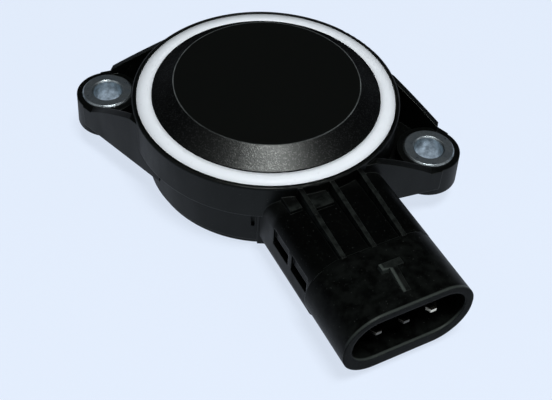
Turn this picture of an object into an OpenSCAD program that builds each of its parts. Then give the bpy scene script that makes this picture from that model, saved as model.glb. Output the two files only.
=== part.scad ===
// Rotary potentiometer with two mounting ears and a three-pin connector.
// The origin is on the rotor axis, in the plane that both ears are bolted down on.

/* [Mounting ears] */
// Distance between the two mounting holes
hole_spacing = 60; // [58:0.5:64]
// Bore of each metal bushing
bolt_bore_d = 5.3; // [5:0.1:6]
// Outer diameter of each metal bushing
bushing_d = 9.2; // [8:0.1:9.6]
// Height that a bushing stands above the plastic boss
bushing_proud = 0.45; // [0.1:0.05:0.8]
// Height of the plastic boss round a bushing
boss_h = 5.8; // [4.8:0.1:6.6]
// Plastic left round a bushing at the top of its boss
boss_wall = 1.05; // [0.8:0.05:1.4]
// Extra radius that the draft gives a boss at its foot
boss_draft = 0.25; // [0:0.05:0.5]
// Thickness of the upright side walls of an ear
ear_wall_t = 1.2; // [0.8:0.1:1.8]
// Height of the underside of an ear's web above the mounting plane
ear_web_z = 1.3; // [0.5:0.1:2]
// Thickness of the web between an ear's side walls
ear_web_t = 1.6; // [1:0.1:2.4]
// Radius of the arched top edge of the walls on the connector's side
ear_arch_r = 50; // [30:5:120]
// Depth of that edge's inner end below the rim
ear_arch_drop = 0.9; // [0.3:0.1:2]
// Height of that edge's outer end above the boss
ear_arch_rise = 0.2; // [0.1:0.1:1.2]
// Radius of the flatter top edge of the walls on the other side
ear_far_arch_r = 120; // [60:5:200]
// Depth of the flatter edge's inner end below the rim
ear_far_drop = 1.4; // [0.3:0.1:2.4]
// Height of the flatter edge's outer end above the boss
ear_far_rise = 1.1; // [0.2:0.1:1.4]

/* [Body] */
// Diameter of the upper band
band_d = 47.6; // [46.6:0.2:50]
// Height of the band
band_h = 6.7; // [6.2:0.1:8]
// Height of the band's lower edge above the mounting plane
band_z = 5.9; // [5:0.1:6.5]
// Rounding of the band's top edge
band_round = 0.45; // [0.1:0.05:0.6]
// Chamfer of the foot's edge
foot_chamfer = 0.4; // [0.2:0.1:0.8]
// Diameter of the tier below the band
tier_d = 43; // [42.8:0.1:45]
// Diameter of the locating register at the foot
register_d = 41.8; // [41.4:0.1:42.2]
// Height of the locating register
register_h = 1.7; // [1:0.1:2.2]
// Depth of the foot below the mounting plane
foot_depth = 4.4; // [3.6:0.1:5]
// Diameter of the inner chamber
chamber_d = 38.6; // [38.2:0.1:39.4]
// Height of the chamber floor above the mounting plane
floor_z = 1.6; // [1.2:0.1:2]
// Thickness of the chamber floor
floor_t = 2.2; // [1.6:0.1:2.8]

// Direction of the upright rib beside the neck, in degrees
lug_az = -78.4; // [-79:0.2:-78]
// Width of that rib
lug_w = 1.6; // [1:0.1:2]
// Height that the rib stands out of the tier
lug_rise = 1.2; // [0.6:0.1:1.6]
// Angle between that rib and the narrow groove beside it
groove_step = 4.3; // [4:0.1:5]
// Width and depth of the groove
groove_w = 0.6; // [0.4:0.1:0.8]
// Length of the groove
groove_len = 5; // [3:0.5:5]

/* [Foot] */
// Section diameter of the sealing ring in the foot
o_ring_d = 2; // [1.6:0.1:2.4]
// Mean diameter of that sealing ring
o_ring_mean_d = 35.6; // [35:0.1:36.4]
// Height that the sealing ring stands out of its groove
o_ring_proud = 0.4; // [0.2:0.05:0.6]
// Side clearance of the sealing ring in its groove
groove_play = 0.2; // [0.1:0.05:0.3]
// Outer diameter of the hub that carries the rotor
hub_d = 19.2; // [18.4:0.2:20]
// Diameter of the ring-shaped recess round the hub
recess_d = 31.2; // [28:0.2:31.6]
// Number of ribs in that recess
foot_ribs = 6; // [4:1:10]
// Thickness of a rib in the recess
foot_rib_t = 1.2; // [0.8:0.1:2]
// Depth of a rib's edge below the face of the foot
foot_rib_drop = 1; // [0.6:0.1:2]

/* [Cover] */
// Diameter of the cover at the foot of its bevel
cover_d = 40.5; // [39.8:0.1:41.2]
// Diameter of the cover's flat top
cover_top_d = 32.9; // [32:0.1:34]
// Height of the bevel
bevel_h = 2.55; // [2.2:0.05:3]
// Depth of the cover's seat below the rim
seat_depth = 2.6; // [2:0.1:3]
// Height of the cover's edge above its seat
cover_edge_h = 2.85; // [2.7:0.05:3.4]
// Wall of the cover
cover_wall = 2; // [1.6:0.1:2.2]
// Thickness of the rim round the sealing bead
rim_t = 0.75; // [0.6:0.05:1.2]
// Depth of the sealing bead's outer edge below the rim
bead_drop = 0.1; // [0.05:0.05:0.5]
// Depth of the cover's spigot below its seat
spigot_h = 1.2; // [0.8:0.1:1.4]
// Wall of the spigot
spigot_t = 1.6; // [1.2:0.1:1.7]

/* [Connector] */
// Direction of the connector seen from above, in degrees
connector_az = -51; // [-54:1:-48]
// Distance from the rotor axis to the connector's mouth
mouth_u = 49.7; // [48.6:0.1:53]
// Length of the connector's shroud
shroud_len = 12.2; // [11:0.1:13]
// Width of the shroud
shroud_w = 23.5; // [22.8:0.1:25]
// Height of the shroud
shroud_h = 13.3; // [13.2:0.1:14.5]
// Corner radius of the shroud
shroud_r = 6.3; // [4:0.1:6.5]
// Height of the shroud's underside, below the mounting plane
shroud_drop = 2.6; // [2.2:0.1:2.65]
// Wall of the shroud at its top and sides
shroud_wall = 1.5; // [1.2:0.1:1.8]
// Wall of the shroud at its underside
shroud_floor = 2.5; // [1.8:0.1:2.6]
// Width of the neck
neck_w = 22; // [21:0.2:22.6]
// Corner radius of the neck
neck_r = 3.4; // [1.5:0.1:4]
// Depth of the neck's top below the shroud's top
neck_step = 0.8; // [0.4:0.1:1.4]
// Number of ribs along the neck
neck_ribs = 3; // [2:1:4]
// Distance between the neck's ribs
neck_rib_pitch = 5.5; // [4.6:0.1:5.8]
// Thickness of a neck rib
neck_rib_t = 0.8; // [0.6:0.1:1.2]
// Height that the neck's ribs stand above the shroud's top at their lower end
neck_rib_rise = 0.15; // [0.1:0.05:0.6]
// Depth of the ribs' upper end below the band's rim
neck_rib_drop = 0.3; // [0.3:0.1:1.2]
// Height of the low pads beside the first rib above the neck
neck_pad_h = 0.7; // [0.4:0.1:1]
// Length of the wider pad outside the band
wide_pad_len = 2.9; // [2:0.1:4]
// Length of the narrow pad outside the band
narrow_pad_len = 1.8; // [1.5:0.1:3]
// Width of the wider pad
wide_pad_w = 3.7; // [3:0.1:3.9]
// Width of the narrow pad
narrow_pad_w = 2.1; // [1.6:0.1:3.2]
// Thickness of the wall between the neck and the shroud's cavity
bulkhead_t = 1.2; // [0.8:0.1:2]
// Depth of the shallow pockets in the neck's sides
pocket_depth = 0.4; // [0.3:0.1:1.4]
// Length of a side pocket
pocket_len = 5.2; // [4:0.1:5.2]
// Height of a side pocket
pocket_h = 3.7; // [3:0.1:4]
// Height of the side pockets' lower edge
pocket_z = 3.4; // [3:0.1:4.4]
// Bar between the side pockets
pocket_bar = 1; // [0.8:0.1:1.2]
// Distance from the last side pocket to the shroud
pocket_end = 1; // [0.8:0.1:1.6]
// Depth of the slot in the lower half of a side pocket
slot_depth = 2.4; // [1.6:0.1:2.8]
// Height of that slot
slot_h = 1.5; // [1:0.1:2.4]
// Wall round the hollows in the neck's underside
core_wall = 1.4; // [1:0.1:2]
// Depth of the hollows in the neck's underside
neck_core = 3.5; // [2:0.1:4.5]
// Width of the latch ramp's cross bar
latch_w = 3.8; // [3:0.1:6]
// Length of the latch ramp
latch_len = 5.5; // [5:0.1:7]
// Height of the latch
latch_h = 1; // [0.6:0.1:1.4]
// Length of the cross bar along the connector
latch_bar = 1.3; // [1:0.1:2]
// Distance from the latch ramp's end to the mouth
latch_back = 2.5; // [2:0.1:4]
// Thickness of the latch ramp's stem
latch_stem_t = 1.3; // [0.6:0.1:1.6]

/* [Pins] */
// Distance between neighbouring pins
pin_pitch = 5; // [4.6:0.1:5.4]
// Width of a pin
pin_w = 2; // [1.6:0.1:2.4]
// Thickness of a pin
pin_t = 0.6; // [0.4:0.05:0.7]
// Height of the pins' underside above the mounting plane
pin_z = 4.4; // [4.35:0.05:4.5]
// Distance of the pin tips behind the mouth
pin_recess = 1; // [0.5:0.1:2]
// Distance of the pins' upright ends inside the board's ledge
pin_leg_inset = 1.2; // [0.9:0.1:1.5]
// Length of the taper at a pin's tip
pin_taper = 0.9; // [0.4:0.1:1.4]

/* [Rotor] */
// Diameter of the rotor's shaft
shaft_d = 11; // [10:0.1:11.4]
// Diameter of the rotor's collar
collar_d = 16.8; // [16:0.1:17.4]
// Wall of the bearing bush
bush_t = 1; // [0.8:0.05:1.2]
// Thickness of the thrust washer
thrust_t = 0.5; // [0.4:0.05:0.7]
// Height of the hub above the chamber floor
hub_h = 2; // [1.8:0.1:2.2]
// Depth of the rotor's lower end inside the foot
rotor_recess = 0.8; // [0.4:0.1:1.2]
// Length of the drive socket's slot
socket_w = 6.4; // [5:0.1:7.2]
// Width of the drive socket's slot
socket_t = 3.2; // [2.4:0.1:3.6]
// Depth of the drive socket
socket_depth = 7; // [5:0.1:8]
// Outer diameter of the shaft seal
seal_d = 16; // [15.4:0.1:16.6]
// Height of the shaft seal
seal_h = 2.4; // [2:0.1:2.6]
// Radial clearance of the turning shaft
run_gap = 0.04; // [0.02:0.01:0.08]
// End clearance of the turning parts
end_gap = 0.05; // [0.03:0.01:0.1]
// Clearance between pieces that stay put
fit_gap = 0.03; // [0.02:0.01:0.05]
// Travel of the rotor in degrees
travel = 110; // [90:1:120]
// Direction of the wiper at rest, in degrees
wiper_az = 35; // [30:1:40]

/* [Return spring] */
// Wire diameter of the return spring
wire_d = 0.7; // [0.5:0.05:0.75]
// Clearance between the return spring and the hub
coil_play = 0.4; // [0.3:0.05:0.5]
// Whole turns of the return spring
coil_turns = 2; // [1:1:2]
// Length of the spring's fixed leg
leg_len = 2.4; // [2:0.1:2.8]
// Thickness of the spring washer
washer_t = 0.3; // [0.2:0.05:0.4]

/* [Track board] */
// Board left inside the collector track
board_margin = 0.9; // [0.7:0.1:1.1]
// Clearance of the board's edge in the chamber
board_play = 0.4; // [0.2:0.05:0.6]
// Thickness of the track board
board_t = 1; // [0.8:0.05:1.2]
// Height of the board's ledge above the chamber floor
ledge_h = 4; // [3.8:0.1:4.4]
// Width of the ledge that the board lies on
ledge_w = 1.4; // [1:0.1:1.6]
// Distance of the resistive track's middle inside the board's ledge
track_inset = 2.7; // [2.5:0.1:2.9]
// Width of the resistive track
track_w = 1.4; // [1:0.1:1.5]
// Distance between the middles of the two tracks
track_step = 2.3; // [2.2:0.1:2.4]
// Width of the collector track
collector_w = 1.2; // [0.8:0.1:1.2]
// Thickness of the printed tracks
print_t = 0.1; // [0.05:0.05:0.15]
// Angle that a track runs past the wiper's travel at each end
track_over = 10; // [8:1:12]
// Diameter of the pegs that hold the board
peg_d = 1.8; // [1.4:0.1:2]
// Extra radius of a peg's formed head
peg_head = 0.6; // [0.4:0.1:0.7]
// Height of a peg's formed head
peg_head_h = 0.7; // [0.4:0.1:0.9]
// Width of a printed lead
lead_w = 0.6; // [0.4:0.1:0.8]

/* [Wiper] */
// Thickness of the wiper carrier
carrier_t = 1.8; // [1.4:0.1:2]
// Height of the wiper carrier above the board
carrier_lift = 2; // [1.8:0.1:2.2]
// Thickness of the wiper's sheet
wiper_t = 0.25; // [0.15:0.05:0.3]
// Fingers on each track
fingers = 3; // [2:1:3]
// Width of a finger
finger_w = 0.3; // [0.2:0.05:0.3]
// Length of a finger
finger_len = 4.5; // [4:0.1:5]
// Diameter of the pivot that the cover holds the rotor with
pivot_d = 4; // [3:0.1:4.4]
// Width of the carrier's arm
arm_w = 9.6; // [9.2:0.1:10.4]
// Part of the arm's width on the rivets' side of the wiper's tips
arm_back = 7.8; // [7.6:0.1:8.2]
// Distance from the wiper's tips to its rivets
rivet_back = 6.2; // [6:0.1:6.4]
// Diameter of a rivet that holds the wiper
rivet_d = 0.9; // [0.7:0.1:1]
// Diameter of a rivet's formed head
rivet_head_d = 1.6; // [1.4:0.1:1.8]
// Height of a rivet's formed head
rivet_head_h = 0.35; // [0.25:0.05:0.5]
// Distance across the flats of the rotor's keyed top
key_flats = 9.2; // [8.6:0.2:9.6]
// Diameter of the rotor's keyed top
key_d = 12; // [11.6:0.2:13]

/* [Hidden] */
$fn = 96;
// Overlap that joins two forms of one moulding
join = 0.2;
// Length that a cutter runs past a face
past = 1;
// Length of an ear's walls inside the tier
ear_root = 6;

black = "#1d1d1f";
ear_x = hole_spacing / 2;
arch_out_x = ear_x + 1;
foot_z = -foot_depth;
rim_z = band_z + band_h;
band_r = band_d / 2;
tier_r = tier_d / 2;
register_r = register_d / 2;
chamber_r = chamber_d / 2;
bead_r = band_r - rim_t;
boss_r = bushing_d / 2 + boss_wall;
boss_foot_r = boss_r + boss_draft;
lug_z = foot_z + register_h + 0.4;

seat_z = rim_z - seat_depth;
cover_edge_z = seat_z + cover_edge_h;
cover_top_z = cover_edge_z + bevel_h;
ceiling_z = cover_top_z - cover_wall;
cover_r = cover_d / 2;
spigot_r = chamber_r - fit_gap;
spigot_in_r = spigot_r - spigot_t;

shroud_z = -shroud_drop;
shroud_top = shroud_z + shroud_h;
shroud_mid = shroud_z + shroud_h / 2;
shroud_u = mouth_u - shroud_len;
cavity_w = shroud_w - 2 * shroud_wall;
cavity_z = shroud_z + shroud_floor;
cavity_h = shroud_top - shroud_wall - cavity_z;
neck_top = shroud_top - neck_step;
neck_root_u = tier_r - ledge_w;
pin_tip_u = mouth_u - pin_recess;
latch_u = mouth_u - latch_back - latch_len;

board_z = floor_z + ledge_h;
board_top = board_z + board_t;
board_out_r = chamber_r - board_play;
ledge_r = chamber_r - ledge_w;
track_r = ledge_r - track_inset;
collector_r = track_r - track_step;
board_in_r = collector_r - collector_w / 2 - board_margin;
pin_leg_u = ledge_r - pin_leg_inset;
print_top = board_top + print_t;
leg_top = print_top + 1.2;

hub_r = hub_d / 2;
hub_top = floor_z + hub_h;
shaft_r = shaft_d / 2;
bush_in_r = shaft_r + run_gap;
bush_r = bush_in_r + bush_t;
bush_z = foot_z + rotor_recess + seal_h + 0.2;
seal_r = seal_d / 2;
seal_z = bush_z - fit_gap - seal_h;
thrust_r = hub_r - 1.2;
collar_z = hub_top + thrust_t + end_gap + fit_gap;
collar_r = collar_d / 2;
rotor_z = foot_z + rotor_recess;
carrier_z = board_top + carrier_lift;
carrier_top = carrier_z + carrier_t;
spigot_flat_r = key_d / 2;
spigot_flat = key_flats / 2;
rotor_top = carrier_top + 0.3;
pivot_r = pivot_d / 2;
pivot_z = carrier_z + 0.3;
carrier_hub_r = 10.4;
carrier_arm_r = spigot_in_r - 0.4;

coil_r = hub_r + coil_play + wire_d / 2;
coil_z = floor_z + wire_d / 2 + fit_gap;
coil_pitch = wire_d + 0.15;
coil_start_az = 215;
coil_end_z = coil_z + coil_pitch * coil_turns;
spring_arm_r = coil_r + wire_d + 0.15;
spring_arm_az = coil_start_az + 32;
spring_arm_top = board_z - 0.3;
spring_arm_w = 2.2;

stop_in_r = board_in_r;
stop_out_r = track_r - 1;
tab_half = 5;
stop_half = 6;
stop_gap = 1.5;
peg_r = ledge_r - 0.3;
peg_azimuths = [-5, 185, 262];
// Thickness of the spring post's two prongs, and their distance outside the coil
post_t = 0.9;
post_back = 1.1;
// Clearance of the spring's moving leg in its arm
leg_play = 0.2;
// Clearance of the pins in the board's slots
pin_play = 0.3;
// Room for the spring washer below the cover's ceiling, and the ring that it presses on
washer_room = 1.6;
boss_ring = 2.6;
// Clearance of the stop tab, and its height above the carrier
stop_play = 0.3;
stop_tab_h = 1.7;
// Gap between neighbouring fingers
finger_gap = 0.1;
// Width of a spring contact
contact_w = 1.4;
pad_u = pin_leg_u - 1.7;
pad_len = 2;

function polar(r, a) = [r * cos(a), r * sin(a)];

// Moves children into the connector's own axes: X outwards, Y across, Z up
module along_connector() rotate([0, 0, connector_az]) children();

// Rounded rectangle, w across and h high, centred
module rounded_section(w, h, r) {
    square([w - 2 * r, h], center = true);
    square([w, h - 2 * r], center = true);
    for (sx = [-1, 1], sy = [-1, 1]) translate([sx * (w / 2 - r), sy * (h / 2 - r)]) circle(r);
}

// Bar along the connector with a rounded section, from u to u + len
module connector_bar(u, len, z, w, h, r)
    translate([u, 0, z + h / 2]) rotate([90, 0, 90]) linear_extrude(len) rounded_section(w, h, r);

// Part of a ring between two directions
module ring_sector(r_in, r_out, z, h, a0, a1)
    translate([0, 0, z]) rotate([0, 0, a0]) rotate_extrude(angle = a1 - a0)
        translate([r_in, 0]) square([r_out - r_in, h]);

// Whole ring
module ring(r_in, r_out, z, h) translate([0, 0, z]) difference() {
    cylinder(r = r_out, h = h);
    translate([0, 0, -past]) cylinder(r = r_in, h = h + 2 * past);
}

// Outer form of the round body: register, tier and band
module body_form() rotate_extrude() {
    polygon([[0, foot_z], [register_r - foot_chamfer, foot_z], [register_r, foot_z + foot_chamfer],
        [register_r, foot_z + register_h], [tier_r, foot_z + register_h], [tier_r, band_z],
        [band_r, band_z], [band_r, rim_z - band_round], [band_r - band_round, rim_z], [0, rim_z]]);
    translate([band_r - band_round, rim_z - band_round]) circle(band_round);
}

// Angle between the ears' line and a wall tangent to boss and tier
ear_lean = asin((tier_r - boss_foot_r) / ear_x);
// Distance from the rotor axis to the point where such a wall meets the boss
ear_end_x = ear_x + boss_foot_r * sin(ear_lean);

// Centre of the circle of radius r through two points, on its lower side
function arch_centre(p, q, r) = let (m = (p + q) / 2, d = q - p, c = norm(d))
    m + [d[1], -d[0]] / c * sqrt(r * r - c * c / 4);

// Side view of an ear's wall, seen along Y, with its arched edge of radius r between drop below the rim
// and rise above the boss
module ear_profile(drop, rise, r) {
    inner = [tier_r, rim_z - drop];
    outer = [arch_out_x, boss_h + rise];
    root_x = tier_r - ear_root;
    intersection() {
        translate([root_x, ear_web_z]) square([arch_out_x - root_x, inner[1] - ear_web_z]);
        translate(arch_centre(inner, outer, r)) circle(r = r, $fn = 180);
    }
    translate([root_x, ear_web_z]) square([ear_end_x - root_x, boss_h - ear_web_z]);
}

// Upright wall on one side of the right ear, tangent to boss and tier; side is 1 towards +Y
module ear_wall(side) intersection() {
    translate([0, band_r, 0]) rotate([90, 0, 0]) linear_extrude(band_d) {
        if (side > 0) ear_profile(ear_far_drop, ear_far_rise, ear_far_arch_r);
        else ear_profile(ear_arch_drop, ear_arch_rise, ear_arch_r);
    }
    rotate([0, 0, side * (90 - ear_lean)]) translate([tier_r - ear_wall_t, -ear_end_x, 0])
        cube([ear_wall_t, 2 * ear_end_x, rim_z]);
}

// One ear without its bushing hole
module ear() {
    translate([ear_x, 0, 0]) cylinder(r1 = boss_foot_r, r2 = boss_r, h = boss_h);
    for (side = [-1, 1]) ear_wall(side);
    translate([0, 0, ear_web_z]) linear_extrude(ear_web_t)
        polygon([polar(tier_r - 1, 90 - ear_lean), [ear_x, 0] + polar(boss_foot_r - 1, 90 - ear_lean),
            [ear_x, 0] + polar(boss_foot_r - 1, ear_lean - 90), polar(tier_r - 1, ear_lean - 90)]);
}

// Rib along the neck at v, which rises from the shroud's top to the band's rim
module neck_rib(v) translate([0, v + neck_rib_t / 2, 0]) rotate([90, 0, 0]) linear_extrude(neck_rib_t)
    polygon([[neck_root_u, shroud_mid], [shroud_u + join, shroud_mid],
        [shroud_u + join, shroud_top + neck_rib_rise], [band_r, rim_z - neck_rib_drop],
        [neck_root_u, rim_z - neck_rib_drop]]);

// Low pad on the neck against the band, from v on, w across, that reaches len outside the band
module neck_pad(v, w, len) translate([neck_root_u, v, shroud_mid])
    cube([band_r + len - neck_root_u, w, neck_top + neck_pad_h - shroud_mid]);

// Pocket in the neck's side s, with a deeper slot in its lower half, that starts at u
module side_pocket(s, u) for (cut = [[pocket_depth, pocket_h], [slot_depth, slot_h]])
    translate([u, s > 0 ? neck_w / 2 - cut[0] : -neck_w / 2 - past, pocket_z])
        cube([pocket_len, cut[0] + past, cut[1]]);

// Neck between the body and the shroud, with its ribs, pads and pockets
module neck() {
    core_w = neck_w / 2 - slot_depth - core_wall / 2;
    pocket_pitch = pocket_len + pocket_bar;
    difference() {
        connector_bar(neck_root_u, shroud_u - neck_root_u + join, shroud_z, neck_w,
            neck_top - shroud_z, neck_r);
        for (s = [-1, 1], i = [0, 1])
            side_pocket(s, shroud_u - pocket_end - pocket_len - i * pocket_pitch);
        for (s = [0, 1])
            translate([band_r + core_wall, s * (core_w + core_wall / 2) - core_w, shroud_z - past])
                cube([shroud_u - band_r - 2 * core_wall, core_w - core_wall / 2, neck_core + past]);
    }
    for (i = [0 : neck_ribs - 1]) neck_rib((i - (neck_ribs - 1) / 2) * neck_rib_pitch);
    neck_pad(neck_rib_t - neck_rib_pitch, wide_pad_w, wide_pad_len);
    neck_pad(-neck_rib_pitch - neck_rib_t - narrow_pad_w, narrow_pad_w, narrow_pad_len);
}

// Latch on the shroud: a cross bar with a stem that ramps down towards the mouth
module latch() {
    translate([latch_u, -latch_w / 2, shroud_top - join]) cube([latch_bar, latch_w, latch_h + join]);
    translate([latch_u, latch_stem_t / 2, shroud_top]) rotate([90, 0, 0]) linear_extrude(latch_stem_t)
        polygon([[0, -join], [latch_len, -join], [latch_len, 0.1], [latch_bar, latch_h], [0, latch_h]]);
}

// Shroud with its open cavity
module shroud() {
    cavity_r = min(shroud_r - shroud_wall, cavity_h / 2 - 0.05);
    difference() {
        connector_bar(shroud_u, shroud_len, shroud_z, shroud_w, shroud_h, shroud_r);
        connector_bar(shroud_u + bulkhead_t, shroud_len, cavity_z, cavity_w, cavity_h, cavity_r);
    }
    latch();
}

// Rib on the side of the tier, beside the neck
module side_lug() rotate([0, 0, lug_az])
    translate([tier_r - 1, -lug_w / 2, lug_z]) cube([1 + lug_rise, lug_w, band_z + join - lug_z]);

// Slots that the three pins lie in
module pin_slots() for (i = [-1 : 1]) along_connector()
    translate([pin_leg_u - past, i * pin_pitch - pin_w / 2 - fit_gap, pin_z - fit_gap]) {
        cube([pin_tip_u - pin_leg_u + past, pin_w + 2 * fit_gap, pin_t + 2 * fit_gap]);
        cube([past + pin_t + 0.2, pin_w + 2 * fit_gap, board_z - pin_z + past]);
    }

// Housing, moulded in one piece
module housing() color(black) {
    difference() {
        union() {
            body_form();
            ear();
            mirror([1, 0, 0]) ear();
            along_connector() neck();
            along_connector() shroud();
            side_lug();
        }
        for (s = [-1, 1])
            translate([s * ear_x, 0, -past]) cylinder(r = bushing_d / 2 + fit_gap, h = rim_z);
        rotate([0, 0, lug_az - groove_step])
            translate([tier_r - groove_w, -groove_w / 2, band_z - groove_len])
                cube([groove_w + past, groove_w, groove_len]);
        translate([0, 0, board_z]) cylinder(r = chamber_r, h = rim_z);
        ring(hub_r, ledge_r, floor_z, ledge_h + past);
        translate([0, 0, hub_top]) cylinder(r = ledge_r, h = rim_z);
        translate([0, 0, seat_z]) cylinder(r = bead_r, h = rim_z);
        pin_slots();
        translate([0, 0, bush_z]) cylinder(r = bush_r + fit_gap, h = rim_z);
        translate([0, 0, foot_z - past]) cylinder(r = seal_r + fit_gap, h = bush_z - foot_z + past);
        ring((o_ring_mean_d - o_ring_d) / 2 - groove_play, (o_ring_mean_d + o_ring_d) / 2 + groove_play,
            foot_z - past, past + o_ring_d - o_ring_proud + fit_gap);
        difference() {
            ring(hub_r, recess_d / 2, foot_z - past, floor_z - floor_t - foot_z + past);
            for (i = [0 : foot_ribs - 1]) rotate([0, 0, i * 360 / foot_ribs])
                translate([hub_r - past, -foot_rib_t / 2, foot_z + foot_rib_drop])
                    cube([recess_d / 2 - hub_r + 2 * past, foot_rib_t, foot_depth]);
        }
    }
    board_pegs();
    spring_post();
}

// Pegs that pass through the board, with their heads formed over it
module board_pegs() for (a = peg_azimuths) rotate([0, 0, a]) translate([peg_r, 0, floor_z - join]) {
    head_z = board_top - floor_z + join + fit_gap;
    cylinder(d = peg_d, h = head_z + peg_head_h);
    translate([0, 0, head_z]) cylinder(r = peg_d / 2 + peg_head, h = peg_head_h);
}

// Forked post that holds the spring's fixed leg
module spring_post() rotate([0, 0, coil_start_az]) for (s = [-1, 1])
    translate([coil_r + post_back, s * (wire_d / 2 + post_t / 2 + 0.05) - post_t / 2, floor_z - join])
        cube([leg_len - post_back - 0.1, post_t, wire_d + 1 + join]);

// Cover: a bevelled cap with a spigot, a pivot and two stops inside
module cover() color("#141415") {
    stop_z = carrier_top + stop_play;
    boss_z = ceiling_z - washer_room;
    rotate_extrude() polygon([[0, ceiling_z], [cover_top_d / 2 - 0.7 * cover_wall, ceiling_z],
        [spigot_in_r, cover_edge_z - 0.6 * cover_wall], [spigot_in_r, seat_z - spigot_h],
        [spigot_r, seat_z - spigot_h], [spigot_r, seat_z], [cover_r, seat_z],
        [cover_r, cover_edge_z], [cover_top_d / 2, cover_top_z], [0, cover_top_z]]);
    translate([0, 0, pivot_z]) cylinder(r = pivot_r, h = ceiling_z + join - pivot_z);
    translate([0, 0, boss_z]) cylinder(r = pivot_r + boss_ring, h = washer_room + join);
    stop_step = tab_half + stop_gap + stop_half;
    for (a = [wiper_az - stop_step, wiper_az + travel + stop_step])
        ring_sector(stop_in_r, stop_out_r, stop_z, ceiling_z + join - stop_z, a - stop_half, a + stop_half);
}

// White sealing bead between cover and rim
module cover_seal() color("#eef2f8") rotate_extrude()
    polygon([[cover_r + fit_gap, seat_z], [bead_r - fit_gap, seat_z], [bead_r - fit_gap, rim_z - bead_drop],
        [cover_r + fit_gap, cover_edge_z]]);

// Metal bushing with broken edges
module bushing(x) color("#8e979b") translate([x, 0, 0]) rotate_extrude() {
    bore = bolt_bore_d / 2;
    out = bushing_d / 2;
    top = boss_h + bushing_proud;
    edge = 0.25;
    polygon([[bore, 0], [out - edge, 0], [out, edge], [out, top - edge], [out - edge, top],
        [bore + edge, top], [bore, top - edge]]);
}

// Flat pin: blade in the shroud, strip through the neck and upright end in the chamber
module pin(i) color("#c9b06a") along_connector() translate([0, i * pin_pitch, 0]) {
    taper_u = pin_tip_u - pin_taper;
    translate([0, 0, pin_z]) linear_extrude(pin_t)
        polygon([[pin_leg_u, -pin_w / 2], [taper_u, -pin_w / 2], [pin_tip_u, -pin_w / 4],
            [pin_tip_u, pin_w / 4], [taper_u, pin_w / 2], [pin_leg_u, pin_w / 2]]);
    translate([pin_leg_u, -pin_w / 2, pin_z]) cube([pin_t, pin_w, leg_top - pin_z]);
}

// Spring contact from a pin's upright end to its pad on the board
module contact(i) color("#c98d4a") along_connector()
    translate([0, i * pin_pitch + contact_w / 2, 0]) rotate([90, 0, 0]) linear_extrude(contact_w) {
        t = 0.25;
        foot = print_top + fit_gap;
        back = pin_leg_u - fit_gap;
        polygon([[pad_u - 0.8, foot], [pad_u + 0.2, foot], [back - t, foot + 0.9], [back - t, foot + 0.2],
            [back, foot + 0.2], [back, foot + 1.2], [back - t, foot + 1.2], [pad_u + 0.1, foot + t],
            [pad_u - 0.8, foot + t]]);
    }

// Sealing ring in the foot
module foot_o_ring() color("#26221f")
    translate([0, 0, foot_z - o_ring_proud + o_ring_d / 2]) rotate_extrude()
        translate([o_ring_mean_d / 2, 0]) circle(d = o_ring_d);

// Bearing bush pressed into the hub
module rotor_bush() color("#a8824a") ring(bush_in_r, bush_r, bush_z, hub_top - bush_z);

// Lip seal below the bush
module shaft_seal() color("#3a2c26") translate([0, 0, seal_z]) rotate_extrude() {
    lip = shaft_r + run_gap;
    polygon([[lip + 0.6, seal_h - 0.6], [lip + 0.6, seal_h], [seal_r, seal_h], [seal_r, 0],
        [seal_r - 0.8, 0], [seal_r - 0.8, seal_h - 0.9], [lip + 1.1, seal_h - 0.9], [lip + 0.7, 0.5],
        [lip, 0.3], [lip, 0.8]]);
}

// Thrust washer between hub and rotor collar
module thrust_washer() color("#e8e2d2") ring(shaft_r + 0.15, thrust_r, hub_top + fit_gap, thrust_t);

// Points along the return spring's wire: fixed leg, coil and moving leg
spring_steps = 18;
spring_path = concat(
    [for (r = [leg_len, 0.6]) concat(polar(coil_r + r, coil_start_az), [coil_z])],
    [for (k = [1 : spring_steps * coil_turns]) let (turn = k / spring_steps)
        concat(polar(coil_r, coil_start_az + turn * 360), [coil_z + coil_pitch * turn])],
    [concat(polar(coil_r, coil_start_az + 16), [coil_end_z + coil_pitch / 4])],
    [for (z = [coil_end_z + wire_d, spring_arm_top - 0.15]) concat(polar(coil_r, spring_arm_az), [z])]);

// Direction of a path at its point i
function path_dir(path, i) = let (d = path[min(i + 1, len(path) - 1)] - path[max(i - 1, 0)]) d / norm(d);

// Part of a that is square to t, at unit length
function square_to(a, t) = let (v = a - (a * t) * t) v / norm(v);

// Wire of diameter d along a path, with flat ends; each ring's first axis is carried on to the next
module wire(path, d) {
    sides = 8;
    n = len(path);
    axes = [for (i = 0, a = square_to([0, 0, 1], path_dir(path, 0)); i < n;
        i = i + 1, a = square_to(a, path_dir(path, min(i, n - 1)))) a];
    points = [for (i = [0 : n - 1], k = [0 : sides - 1])
        let (a = axes[i], b = cross(a, path_dir(path, i)), turn = k * 360 / sides)
            path[i] + (a * cos(turn) + b * sin(turn)) * d / 2];
    walls = [for (i = [0 : n - 2], k = [0 : sides - 1]) [i * sides + k, i * sides + (k + 1) % sides,
        (i + 1) * sides + (k + 1) % sides, (i + 1) * sides + k]];
    start = [for (k = [sides - 1 : -1 : 0]) k];
    end = [for (k = [0 : sides - 1]) (n - 1) * sides + k];
    polyhedron(points, concat([start], walls, [end]));
}

// Return spring round the hub
module return_spring() color("#b9bdc2") wire(spring_path, wire_d);

// Dished spring washer that keeps the rotor down
module spring_washer() color("#b4b8bd") rotate_extrude() {
    low = rotor_top + end_gap;
    high = ceiling_z - washer_room - fit_gap;
    in_r = pivot_r + 0.4;
    out_r = spigot_flat - 0.1;
    polygon([[in_r, high - washer_t], [in_r, high], [in_r + 0.5, high], [out_r, low + washer_t],
        [out_r, low], [out_r - 0.4, low]]);
}

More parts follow.
